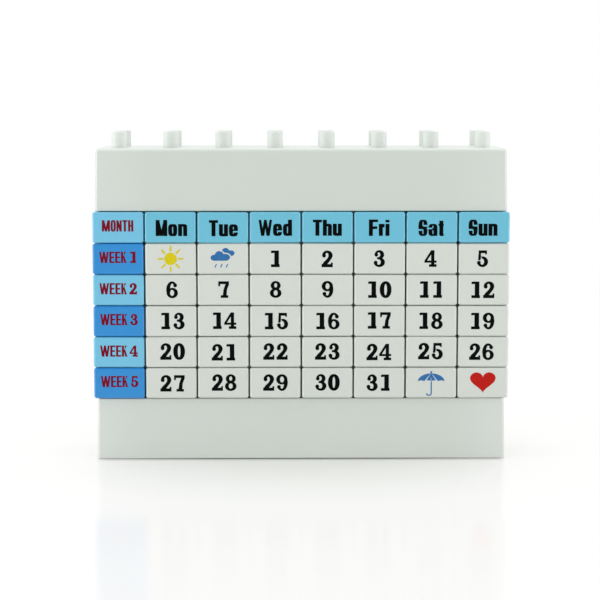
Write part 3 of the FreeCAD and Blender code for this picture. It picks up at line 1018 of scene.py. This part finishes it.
@dataclass
class Numerals:
    """Bold slab numerals. A digit is drawn about its own middle, in shares of its height."""

    stem: float = 0.275
    slab: float = 0.17
    advance: float = 0.8

    def write(self, text: str, pen: Pen) -> None:
        """Writes a number about the pen's place.

        Args:
            text: Its digits.
            pen: The pen, at the number's middle.
        """
        for place, digit in enumerate(text):
            along = (place - (len(text) - 1) / 2) * self.advance
            pen.shifted(along).draw(*self.digits()[digit])

    def digits(self) -> dict[str, list[Stroke]]:
        """Lists the strokes of the digits.

        Returns:
            Each digit's strokes, in the order in which they are drawn.
        """
        stem, slab = self.stem, self.slab
        arm_of_4 = ((0.02, 0.25), (-0.38, 0.25), (-0.38, 0.36))
        leg_of_7 = ((0.33, 0.8), (0.21, 0.5), (0.18, 0.1), (-0.05, 0.1), (0, 0.5))
        six = [
            oval(-0.35, -0.01, 0.35, 1.01),
            -oval(-0.12, 0.13, 0.15, 0.87),
            -bar(0.04, 0.3, 0.4, 0.76),
            oval(0.07, 0.65, 0.3, 0.88),
            oval(-0.33, -0.01, 0.35, 0.62),
            -oval(-0.12, 0.13, 0.12, 0.49),
        ]
        return {
            "0": ring(-0.355, -0.01, 0.355, 1.01, (stem, slab), 2.15),
            "1": [
                bar(-0.05, 0, stem - 0.05, 1),
                form((-0.25, 0.84), (0, 0.86), (0, 1), (-0.16, 1), (-0.25, 0.98)),
                bar(-0.25, 0, 0.27, slab),
            ],
            "2": [
                oval(-0.31, 0.42, 0.32, 1.01),
                -oval(-0.12, 0.55, 0.07, 0.86),
                -form((-0.4, 0.3), (-0.4, 0.66), (-0.02, 0.66), (0.04, 0.54), (-0.1, 0.3)),
                oval(-0.31, 0.58, -0.08, 0.81),
                form((0.31, 0.66), (0.26, 0.52), (0.02, 0.2), (-0.05, 0.1), (-0.34, 0.1), (-0.22, 0.3)),
                form((0.31, 0.66), (-0.22, 0.3), (0.0, 0.52), (0.07, 0.62), (0.07, 0.7), (0.31, 0.76)),
                bar(-0.34, 0, 0.33, slab + 0.02),
                bar(0.22, 0, 0.33, 0.28),
            ],
            "3": [
                oval(-0.27, 0.46, 0.3, 1.01),
                oval(-0.32, -0.01, 0.35, 0.57),
                -oval(-0.12, 0.6, 0.07, 0.87),
                -oval(-0.14, 0.13, 0.1, 0.45),
                -bar(-0.4, 0.26, -0.02, 0.75),
                bar(-0.12, 0.455, 0.1, 0.59),
                oval(-0.28, 0.62, -0.06, 0.84),
                oval(-0.32, 0.14, -0.09, 0.37),
            ],
            "4": [
                form((0.02, 1), (0.22, 1), (0.22, 0), (0.02, 0), *arm_of_4),
                -form((0.02, 0.38), (0.02, 0.74), (-0.21, 0.38)),
                bar(0.1, 0.25, 0.35, 0.38),
                bar(-0.1, 0, 0.35, slab - 0.01),
            ],
            "5": [
                oval(-0.32, -0.01, 0.35, 0.64),
                -oval(-0.13, 0.14, 0.11, 0.5),
                -bar(-0.4, 0.3, -0.04, 0.6),
                form((-0.25, 0.4), (-0.12, 0.4), (-0.08, 0.52), (-0.08, 0.9), (-0.22, 0.9)),
                bar(-0.22, 0.83, 0.28, 1),
                bar(0.18, 0.76, 0.28, 1),
                oval(-0.32, 0.14, -0.09, 0.37),
            ],
            "6": six,
            "7": [
                bar(-0.31, 0.83, 0.33, 1),
                bar(-0.31, 0.7, -0.2, 1),
                form((0.13, 0.86), (0.33, 0.86), *leg_of_7),
                bar(-0.17, 0, 0.28, slab - 0.01),
            ],
            "8": [
                oval(-0.3, 0.46, 0.3, 1.01),
                oval(-0.35, -0.01, 0.35, 0.57),
                -oval(-0.09, 0.62, 0.09, 0.88),
                -oval(-0.12, 0.13, 0.12, 0.45),
            ],
            "9": [stroke.spun() for stroke in six],
        }


@dataclass
class Condensed:
    """Heavy condensed letters, in shares of the capitals' height."""

    stem: float = 0.17
    low_top: float = 0.75
    beam: float = 0.14
    narrow: float = 0.43
    gap: float = 0.055
    space: float = 0.16
    digit: float = 0.66
    square: float = 3.4

    def write(self, text: str, pen: Pen) -> None:
        """Writes a word about the pen's place.

        Args:
            text: The word.
            pen: The pen, at the word's middle.
        """
        widths = [self._width(letter) for letter in text]
        start = -(sum(widths) + self.gap * (len(text) - 1)) / 2
        for letter, width in zip(text, widths):
            if letter.isdigit():
                pen.shifted(start + width / 2).draw(*Numerals().digits()[letter])
            elif letter != " ":
                strokes = {**self.capitals(width), **self.small(width)}
                pen.shifted(start).draw(*strokes[letter])
            start += width + self.gap

    def _width(self, letter: str) -> float:
        """How wide a letter is."""
        special = {" ": self.space, "M": 0.72, "W": 0.84, "i": self.stem, "r": 0.36, "t": 0.34}
        return self.digit if letter.isdigit() else special.get(letter, self.narrow)

    def capitals(self, width: float) -> dict[str, list[Stroke]]:
        """Lists the strokes of the capitals, from a letter's left foot.

        Args:
            width: The letter's width.

        Returns:
            Each capital's strokes, in the order in which they are drawn.
        """
        stem, beam, square = self.stem, self.beam, self.square
        half, right = width / 2, width - stem
        post, far_post = bar(0, 0, stem, 1), bar(right, 0, width, 1)
        arms = [bar(0, 0.43, width * 0.92, 0.43 + beam), bar(0, 0.86, width, 0.86 + beam)]
        notch = ((0.22, 1), (half, 0.4), (width - 0.22, 1))
        return {
            "E": [post, bar(0, 0, width, beam), *arms],
            "F": [post, *arms],
            "H": [post, far_post, bar(0, 0.43, width, 0.43 + beam)],
            "K": [
                post,
                form((stem, 0.32), (width - 0.17, 1), (width, 1), (stem, 0.54)),
                form((0.17, 0.58), (0.29, 0.66), (width + 0.03, 0), (width - 0.16, 0)),
            ],
            "M": [
                post,
                far_post,
                form((0, 1), *notch, (width, 1), (half + 0.08, 0), (half - 0.08, 0)),
            ],
            "N": [
                bar(0, 0, stem - 0.02, 1),
                bar(right + 0.02, 0, width, 1),
                form((0, 1), (0.17, 1), (width, 0), (width - 0.17, 0)),
            ],
            "O": ring(0, -0.01, width, 1.01, (stem, beam), square),
            "S": [
                oval(0, -0.01, width, 1.01, square),
                -oval(stem, 0.6, right, 0.88, square),
                -oval(stem, 0.12, right, 0.4, square),
                -bar(right, 0.58, width + 0.1, 0.68),
                -bar(-0.1, 0.32, stem, 0.42),
            ],
            "T": [bar(0, 1 - beam, width, 1), bar(right / 2, 0, (width + stem) / 2, 1)],
            "W": self._vee(0.0, half) + self._vee(half - 0.08, half),
        }

    @staticmethod
    def _vee(left: float, half: float) -> list[Stroke]:
        """Half a W: a tapered stroke down and one up.

        Args:
            left: Its left edge.
            half: Half the letter's width.

        Returns:
            The two strokes.
        """
        foot = left + (half + 0.08) / 2
        top = left + half
        return [
            form((left, 1), (left + 0.16, 1), (foot + 0.08, 0), (foot - 0.1, 0)),
            form((top - 0.08, 1), (top + 0.08, 1), (foot + 0.1, 0), (foot - 0.08, 0)),
        ]

    def small(self, width: float) -> dict[str, list[Stroke]]:
        """Lists the strokes of the small letters, from a letter's left foot.

        Args:
            width: The letter's width.

        Returns:
            Each small letter's strokes, in the order in which they are drawn.
        """
        stem, beam, top, square = self.stem, self.beam, self.low_top, self.square
        right = width - stem
        bowl = ring(0, -0.01, width, top, (stem, beam), square)
        arch = [
            oval(0.02, 0.3, width, top, square),
            bar(right, 0, width, 0.55),
            -bar(stem, -0.1, right, top - beam),
            bar(0, 0, stem, top),
        ]
        return {
            "o": bowl,
            "n": arch,
            "h": [*arch, bar(0, 0, stem, 1)],
            "r": [
                oval(0.02, 0.3, width + 0.1, top, square),
                -bar(stem, 0.2, width + 0.2, 0.53),
                -bar(width, 0.2, width + 0.2, top + 0.1),
                bar(0, 0, stem, top),
            ],
            "u": [
                oval(0, -0.01, width - 0.02, 0.45, square),
                bar(0, 0.2, stem, top),
                -bar(stem, beam, right, top + 0.1),
                bar(right, 0, width, top),
            ],
            "e": [*bowl, bar(stem - 0.03, 0.33, width, 0.44), -bar(right, 0.24, width + 0.1, 0.33)],
            "a": [
                oval(0, -0.01, width, top, square),
                -oval(stem, 0.48, right, top - 0.11, square),
                -oval(stem, 0.11, right, 0.35, square),
                -bar(-0.1, 0.42, stem, 0.51),
                bar(right, 0, width, 0.4),
            ],
            "d": [*bowl, bar(right, 0, width, 1)],
            "i": [bar(0, 0, width, top), bar(0, 0.84, width, 1)],
            "t": [
                bar(0.06, 0.08, 0.06 + stem, 0.95),
                oval(0.06, -0.01, width + 0.06, 0.3, square),
                -bar(0.06 + stem, 0.13, width + 0.2, 0.5),
                -bar(width, -0.1, width + 0.2, 0.5),
                bar(0, top - 0.12, width, top),
            ],
        }


@dataclass
class Pictures:
    """The weather and heart figures, each drawn about the tile's middle in metres."""

    sun_disc: float = 1.92 * MM
    sun_ray_start: float = 2.3 * MM
    sun_ray_end: float = 3.95 * MM
    sun_ray_wide: float = 0.68 * MM
    sun_ray_taper: float = 0.7
    sun_rays: int = 8
    cloud_wide: float = 7.2 * MM
    cloud_back: Place = (0.17, 0.12, 0.72)
    cloud_front: Place = (-0.09, -0.08, 0.86)
    cloud_edge: float = 0.06
    heart_wide: float = 7.9 * MM
    heart_tall: float = 6.4 * MM
    heart_waves: tuple[int, ...] = (13, -5, -2, -1)
    heart_span: int = 29
    heart_rise: float = 0.1
    canopy_wide: float = 8.3 * MM
    canopy_tall: float = 2.6 * MM
    canopy_foot: float = 0.35 * MM
    steps: int = 72

    def sun(self, sheet: Sheet) -> None:
        """Draws a disc with rays.

        Args:
            sheet: The tile's sheet.
        """
        disc = self.sun_disc / MM
        Pen(sheet, Finish.INK_YELLOW, 0, 0, MM).draw(oval(-disc, -disc, disc, disc))
        for ray in range(self.sun_rays):
            turn = math.tau * ray / self.sun_rays
            along = Vector((math.cos(turn), math.sin(turn)))
            across = Vector((-along.y, along.x)) * self.sun_ray_wide / 2
            near, far = along * self.sun_ray_start, along * self.sun_ray_end
            tip = across * self.sun_ray_taper
            corners = (near - across, far - tip, far + tip, near + across)
            sheet.paint([tuple(corner) for corner in corners], Finish.INK_YELLOW)

    def cloud(self, sheet: Sheet) -> None:
        """Draws a cloud in front of a smaller one, and three drops below.

        Args:
            sheet: The tile's sheet.
        """
        unit = self.cloud_wide
        places = (self.cloud_back, self.cloud_front)
        back, front = (Pen(sheet, Finish.INK_BLUE, *(unit * part for part in place)) for place in places)
        back.draw(*self._puff(0.0))
        front.draw(*(-stroke for stroke in self._puff(self.cloud_edge)))
        front.draw(*self._puff(0.0))
        drops = Pen(sheet, Finish.INK_BLUE, 0, 0, unit)
        low, high = -0.37, -0.22
        for left in (-0.36, -0.12, 0.12):
            drops.draw(form((left, low), (left + 0.05, low), (left + 0.11, high), (left + 0.06, high)))

    @staticmethod
    def _puff(grow: float) -> list[Stroke]:
        """A cloud with a flat foot.

        Args:
            grow: How far it grows all round, in shares of its height.

        Returns:
            Its strokes.
        """
        lobes = ((-0.5, 0, -0.12, 0.3), (-0.3, 0, 0.16, 0.48), (0, 0, 0.46, 0.34))
        puffs = [
            oval(left - grow, low - grow, right + grow, high + grow) for left, low, right, high in lobes
        ]
        return [*puffs, bar(-0.33, -grow, 0.3, 0.16)]

    def umbrella(self, sheet: Sheet) -> None:
        """Draws an open umbrella with a hooked handle.

        Args:
            sheet: The tile's sheet.
        """
        high = self.canopy_tall / self.canopy_wide
        scallops = (-0.5, -0.25, 0.0, 0.25)
        seams = (-0.24, 0.0, 0.24)
        Pen(sheet, Finish.INK_BLUE, 0, self.canopy_foot, self.canopy_wide).draw(
            oval(-0.5, -high, 0.5, high),
            -bar(-0.6, -high - 0.1, 0.6, 0),
            *(-oval(left, -0.05, left + 0.25, 0.05) for left in scallops),
            *(-form((0, high + 0.02), (seam - 0.032, 0), (seam + 0.032, 0)) for seam in seams),
            bar(-0.012, -0.02, 0.014, high - 0.02),
            bar(-0.02, -0.42, 0.025, 0),
            oval(-0.19, -0.53, 0.025, -0.33),
            -oval(-0.145, -0.485, -0.02, -0.375),
            -bar(-0.25, -0.43, -0.02, -0.3),
            bar(-0.02, -0.45, 0.025, -0.3),
            oval(-0.035, high - 0.01, 0.035, high + 0.09),
        )

    def heart(self, sheet: Sheet) -> None:
        """Draws a heart, from its usual curve.

        Args:
            sheet: The tile's sheet.
        """
        curve = []
        for step in range(self.steps):
            turn = math.tau * (step + 0.5) / self.steps
            x = math.sin(turn) ** 3
            waves = enumerate(self.heart_waves, start=1)
            y = sum(share * math.cos(order * turn) for order, share in waves) / self.heart_span
            curve.append((x * self.heart_wide / 2, (y + self.heart_rise) * self.heart_tall))
        sheet.paint(curve, Finish.INK_HEART)


@dataclass
class TileField:
    """The push-on tiles and their prints."""

    form: TileForm = field(default_factory=TileForm)
    numerals: Numerals = field(default_factory=Numerals)
    letters: Condensed = field(default_factory=lambda: Condensed(stem=0.19, narrow=0.46))
    heavy: Condensed = field(default_factory=lambda: Condensed(stem=0.25, narrow=0.565, beam=0.165))
    pictures: Pictures = field(default_factory=Pictures)
    weekdays: tuple[str, ...] = ("Mon", "Tue", "Wed", "Thu", "Fri", "Sat", "Sun")
    number_height: float = 5.1 * MM
    number_rise: float = 0.1 * MM
    weekday_height: float = 4.9 * MM
    weekday_drop: float = 0.1 * MM
    label_height: float = 3.45 * MM
    label_rise: float = 0.55 * MM
    print_drift: float = -0.0092
    print_slack: float = 0.15 * MM
    print_shares: Point = (0.5, 1.0)
    weekday_share: float = 0.25
    ink_proud: float = 0.02 * MM
    ink_sunk: float = 0.02 * MM
    slack: float = 0.04 * MM
    lean: float = math.radians(0.2)
    seed: int = 11

    def build(self) -> list[bpy.types.Object]:
        """Builds the tiles, then the prints that ride on them.

        Returns:
            The pieces.
        """
        tree = self.form.tree()
        chance = random.Random(self.seed)
        nodes = [node for node in SLOTS if node.startswith("tile_")]
        tiles, prints = [], []
        for node in nodes:
            low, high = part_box(node)
            size = high - low
            turn = Euler([chance.uniform(-self.lean, self.lean) for _ in range(3)])
            shift = Vector([chance.uniform(-self.slack, self.slack) for _ in range(3)])
            place = (low + high) / 2 + shift
            name = node.removeprefix("tile_")
            values = self.form.values(size, place, turn)
            tile = tree.piece(f"{name}_tile", values, slot_finish(SLOTS[node]).material())
            weigh_normals(tile)
            tiles.append(tile)
            sheet = self._print(name, place.x, chance)
            front = -size.y / 2
            mesh = sheet.mesh(f"{name}_print", front - self.ink_proud, front + self.ink_sunk)
            mesh.transform(Matrix.Translation(place) @ turn.to_matrix().to_4x4())
            prints.append(new_object(f"{name}_print", mesh))
        flatten(tiles)
        for node, tile, layer in zip(nodes, tiles, prints):
            dress(tile, node)
            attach(layer, BODIES[node])
            faces = len(tile.data.polygons), len(layer.data.polygons)
            LOG.info("%s: %d faces, print %d", tile.name, *faces)
        return tiles + prints

    def _print(self, name: str, across: float, chance: random.Random) -> Sheet:
        """Draws what one tile shows.

        Args:
            name: The tile's name.
            across: The tile's middle, along X.
            chance: The source of the print's small offset.

        Returns:
            The sheet.
        """
        sheet = Sheet()
        kind, _, number = name.partition("_")
        slack = self.print_slack
        x, y = (chance.uniform(-slack, slack) * share for share in self.print_shares)
        if kind in ("day", "weekday"):
            x += self.print_drift * across
        if kind == "day":
            pen = Pen(sheet, Finish.INK_BLACK, x, y + self.number_rise, self.number_height)
            self.numerals.write(str(int(number)), pen)
        elif kind == "weekday":
            y = y * self.weekday_share - self.weekday_drop
            pen = Pen(sheet, Finish.INK_BLACK, x, y, self.weekday_height)
            self.heavy.write(self.weekdays[int(number) - 1], pen)
        elif kind in ("month", "week"):
            pen = Pen(sheet, Finish.INK_RED, x, y + self.label_rise, self.label_height)
            self.letters.write(name.replace("_", " ").upper(), pen)
        else:
            getattr(self.pictures, name)(sheet)
        return sheet


@dataclass
class Screws:
    """Self-tapping screws with a rounded head, a cross recess and a coarse thread."""

    nodes: tuple[str, ...] = ("head_screws", "stand_screws", "plate_screw")
    head_radius: float = 2.3 * MM
    head_height: float = 1.2 * MM
    core_radius: float = 0.85 * MM
    thread_radius: float = 1.2 * MM
    length: float = 8.0 * MM
    lead: float = 0.9 * MM
    run_out: float = 1.5
    recess: Point = (0.28, 1.15)
    recess_depth: float = 1.2
    dome: float = 0.28
    dome_power: float = 3.0
    head_sides: int = 40
    head_rings: int = 6
    shank_sides: int = 24
    turn_steps: int = 20
    ridge_sides: int = 3
    lone_width: float = 3.0
    sharp_turn: float = math.radians(35)

    def tree(self) -> FormTree:
        """Builds the screws' tree: one screw, repeated along X from a place.

        Returns:
            The tree.
        """
        names = ("Head radius", "Head height", "Core radius", "Thread radius", "Length", "Lead", "Pitch")
        sizes = {name: "NodeSocketFloat" for name in names}
        tree = FormTree("screw", {**sizes, "Count": "NodeSocketInt", "Place": "NodeSocketVector"})
        head, tall, core, outer, length, lead, pitch = (tree.given[name] for name in names)
        settings = {"fill_type": "NGON"}
        arms = [
            tree.box((head * across, head * along, tall * self.recess_depth), (0.0, 0.0, tall * -1))
            for across, along in (self.recess, self.recess[::-1])
        ]
        head_solid = tree.cut(self._head(tree, head, tall), arms)
        inputs = {"Vertices": self.shank_sides, "Radius": core, "Depth": length}
        shank = tree.add("GeometryNodeMeshCylinder", settings, inputs)["Mesh"]
        shank = tree.moved(shank, (0.0, 0.0, length / 2))
        ridge = outer - core
        rise = length - lead * self.run_out
        turns = rise / lead
        inputs = {"Resolution": self.turn_steps, "Rotations": turns, "Height": rise}
        inputs |= {"Start Radius": core, "End Radius": core}
        spiral = tree.add("GeometryNodeCurveSpiral", None, inputs)["Curve"]
        inputs = {"Resolution": self.ridge_sides, "Radius": ridge}
        profile = tree.add("GeometryNodeCurvePrimitiveCircle", None, inputs)["Curve"]
        inputs = {"Curve": spiral, "Profile Curve": profile, "Fill Caps": True}
        thread = tree.add("GeometryNodeCurveToMesh", None, inputs)["Mesh"]
        thread = tree.moved(thread, (0.0, 0.0, lead))
        solids = {"Geometry": [head_solid, shank, thread]}
        screw = tree.add("GeometryNodeJoinGeometry", None, solids)["Geometry"]
        inputs = {"Count": tree.given["Count"], "Start Location": tree.given["Place"]}
        inputs["Offset"] = tree.vector((pitch, 0.0, 0.0))
        row = tree.add("GeometryNodeMeshLine", None, inputs)["Mesh"]
        inputs = {"Points": row, "Instance": screw}
        many = tree.add("GeometryNodeInstanceOnPoints", None, inputs)["Instances"]
        tree.end(many, self.sharp_turn)
        return tree

    def _head(self, tree: FormTree, radius: Wire, tall: Wire) -> Wire:
        """A round head whose lower rim is domed.

        Args:
            tree: The screws' tree.
            radius: The head's radius.
            tall: The head's height.

        Returns:
            The head's geometry.
        """
        settings = {"fill_type": "TRIANGLE_FAN"}
        inputs = {"Vertices": self.head_sides, "Side Segments": self.head_rings}
        inputs |= {"Radius": radius, "Depth": tall}
        drum = tree.add("GeometryNodeMeshCylinder", settings, inputs)["Mesh"]
        drum = tree.moved(drum, (0.0, 0.0, tall / -2))
        x, y, z = tree.parts(tree.add("GeometryNodeInputPosition")["Position"])
        depth = (z * -1) / tall
        inward = 1 - self.dome * depth.math("POWER", depth, self.dome_power)
        place = tree.vector((x * inward, y * inward, z))
        inputs = {"Geometry": drum, "Position": place}
        return tree.add("GeometryNodeSetPosition", None, inputs)["Geometry"]

    def build(self) -> list[bpy.types.Object]:
        """Builds the screws of each node at the node's own place.

        Returns:
            The pieces.
        """
        tree = self.tree()
        pieces = []
        for node in self.nodes:
            low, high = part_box(node)
            count = 1 if high.x - low.x < self.lone_width * self.head_radius else 2
            first = Vector((low.x + self.head_radius, (low.y + high.y) / 2, low.z + self.head_height))
            values = {
                "Head radius": self.head_radius,
                "Head height": self.head_height,
                "Core radius": self.core_radius,
                "Thread radius": self.thread_radius,
                "Length": self.length,
                "Lead": self.lead,
                "Pitch": high.x - low.x - 2 * self.head_radius,
                "Count": count,
                "Place": first,
            }
            pieces.append(tree.piece(f"{node}_detailed", values, Finish.SCREW_STEEL.material()))
        flatten(pieces)
        for node, piece in zip(self.nodes, pieces):
            dress(piece, node)
            LOG.info("%s: %d faces", piece.name, len(piece.data.polygons))
        return pieces


@dataclass(frozen=True)
class Lamp:
    """A square soft lamp, aimed at a point."""

    name: str
    place: Place
    aim: Place
    side: float
    power: float

    def build(self) -> None:
        """Puts the lamp into the scene."""
        light = bpy.data.lights.new(self.name, "AREA")
        light.shape = "SQUARE"
        light.size = self.side
        light.energy = self.power
        lamp = bpy.data.objects.new(self.name, light)
        lamp.location = self.place
        ahead = Vector(self.aim) - Vector(self.place)
        lamp.rotation_euler = ahead.to_track_quat("-Z", "Y").to_euler()
        bpy.context.scene.collection.objects.link(lamp)


@dataclass
class Studio:
    """A white table, a white surround, soft lamps and the photograph's camera."""

    lamps: tuple[Lamp, ...] = (
        Lamp("overhead", (0.0, 0.1, 0.9), (0.0, 0.0, 0.0), 0.8, 2.2),
        Lamp("left_lamp", (-0.85, -0.28, 0.12), (0.0, 0.0, 0.06), 0.4, 3.3),
        Lamp("right_lamp", (0.85, -0.28, 0.12), (0.0, 0.0, 0.06), 0.4, 2.5),
    )
    table_side: float = 8.0
    table_colour: Colour = (0.9, 0.895, 0.87)
    front_glow: float = 0.71
    side_glow: float = 0.1
    back_glow: float = 0.4
    top_glow: float = 0.3
    top_focus: float = 4.0
    opening_edge: float = 3.0
    opening_dark: float = 0.6
    table_roughness: float = 0.13
    table_reach: float = 0.6
    table_fade: tuple[Point, ...] = ((0.05, 0.08), (0.14, 0.5), (0.4, 0.6), (1.0, 1.0))
    camera_ahead: float = 583.0 * MM
    camera_height: float = 115.2 * MM
    camera_side: float = -6.2 * MM
    pitch: float = math.radians(6.405)
    yaw: float = math.radians(0.57)
    focal_px: float = 1913.6
    sensor: float = 36.0
    clip: Point = (0.01, 50.0)

    def build(self) -> None:
        """Builds the table, the surround, the lamps and the camera."""
        self._table()
        self._surround()
        for lamp in self.lamps:
            lamp.build()
        self._camera()

    def _table(self) -> None:
        """The table: white to the camera, with the object's shadow and reflection."""
        work = bmesh.new()
        bmesh.ops.create_grid(work, x_segments=1, y_segments=1, size=self.table_side / 2)
        mesh = bpy.data.meshes.new("table")
        work.to_mesh(mesh)
        work.free()
        mesh.materials.append(self._table_material())
        new_object("table", mesh)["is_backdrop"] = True

    def _table_material(self) -> bpy.types.Material:
        """A gloss white sheet.

        Returns:
            The material.
        """
        shader = Shader("table_sheet")
        seen = shader.add("ShaderNodeLightPath")["Is Camera Ray"]
        sheet = {"Base Color": (*self.table_colour, 1.0), "Roughness": self.table_roughness}
        body = shader.add("ShaderNodeBsdfPrincipled", None, sheet)["BSDF"]
        glow = shader.add("ShaderNodeEmission", None, {"Strength": 1.0})["Emission"]
        away = shader.add("ShaderNodeVectorMath", {"operation": "LENGTH"}, {0: shader.place})["Value"]
        stops = [(place, (share, share, share)) for place, share in self.table_fade]
        reach = {"Fac": away / self.table_reach}
        fade = shader.add("ShaderNodeValToRGB", {"stops": stops}, reach)["Color"]
        both = shader.add("ShaderNodeMixShader", None, {0: seen * fade, 1: body, 2: glow})[0]
        shader.add("ShaderNodeOutputMaterial", None, {"Surface": both})
        return shader.material

    def _surround(self) -> None:
        """The world: white to the camera, and plain light for the rest."""
        world = bpy.data.worlds.new("surround")
        world.use_nodes = True
        bpy.context.scene.world = world
        tree = Tree(world.node_tree)
        path = tree.add("ShaderNodeLightPath")
        split = tree.add("ShaderNodeSeparateXYZ", None, {0: tree.add("ShaderNodeTexCoord")["Generated"]})
        across, away, upward = split["X"], split["Y"].at_least(0.0), split["Z"].at_least(0.0)
        top = upward.math("POWER", upward, self.top_focus) * self.top_glow
        glow = self.front_glow + across * across * self.side_glow + away * away * self.back_glow + top
        seen = path["Is Camera Ray"].at_least(path["Is Glossy Ray"])
        opening = (split["Y"] * -self.opening_edge).at_least(0.0).at_most(1.0)
        open_share = path["Is Glossy Ray"] * opening * self.opening_dark
        strength = (glow + seen * (1 - glow)) * (1 - open_share)
        inputs = {"Color": (1.0, 1.0, 1.0, 1.0), "Strength": strength}
        light = tree.add("ShaderNodeBackground", None, inputs)
        tree.add("ShaderNodeOutputWorld", None, {"Surface": light["Background"]})

    def _camera(self) -> None:
        """The camera, level with the top of the calendar and tipped down."""
        low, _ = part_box("tile_month")
        lens = bpy.data.cameras.new("camera")
        lens.sensor_width = self.sensor
        lens.lens = self.focal_px / FRAME_SIDE_PX * self.sensor
        lens.clip_start, lens.clip_end = self.clip
        camera = bpy.data.objects.new("camera", lens)
        camera.location = (self.camera_side, low.y - self.camera_ahead, self.camera_height)
        camera.rotation_euler = (math.radians(90) - self.pitch, 0.0, -self.yaw)
        bpy.context.scene.collection.objects.link(camera)
        bpy.context.scene.camera = camera


def main() -> None:
    """Builds the calendar's looks around its frame."""
    logging.basicConfig(level=logging.INFO, format="%(name)s %(message)s")
    Mouldings().build()
    TileField().build()
    Screws().build()
    Studio().build()
    bpy.context.scene.view_settings.view_transform = "Standard"
    boxes = {"cad": CAD_BOX, "visual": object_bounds()}
    {name: [list(end) for end in box] for name, box in boxes.items()}


if __name__ == "__main__":
    main()
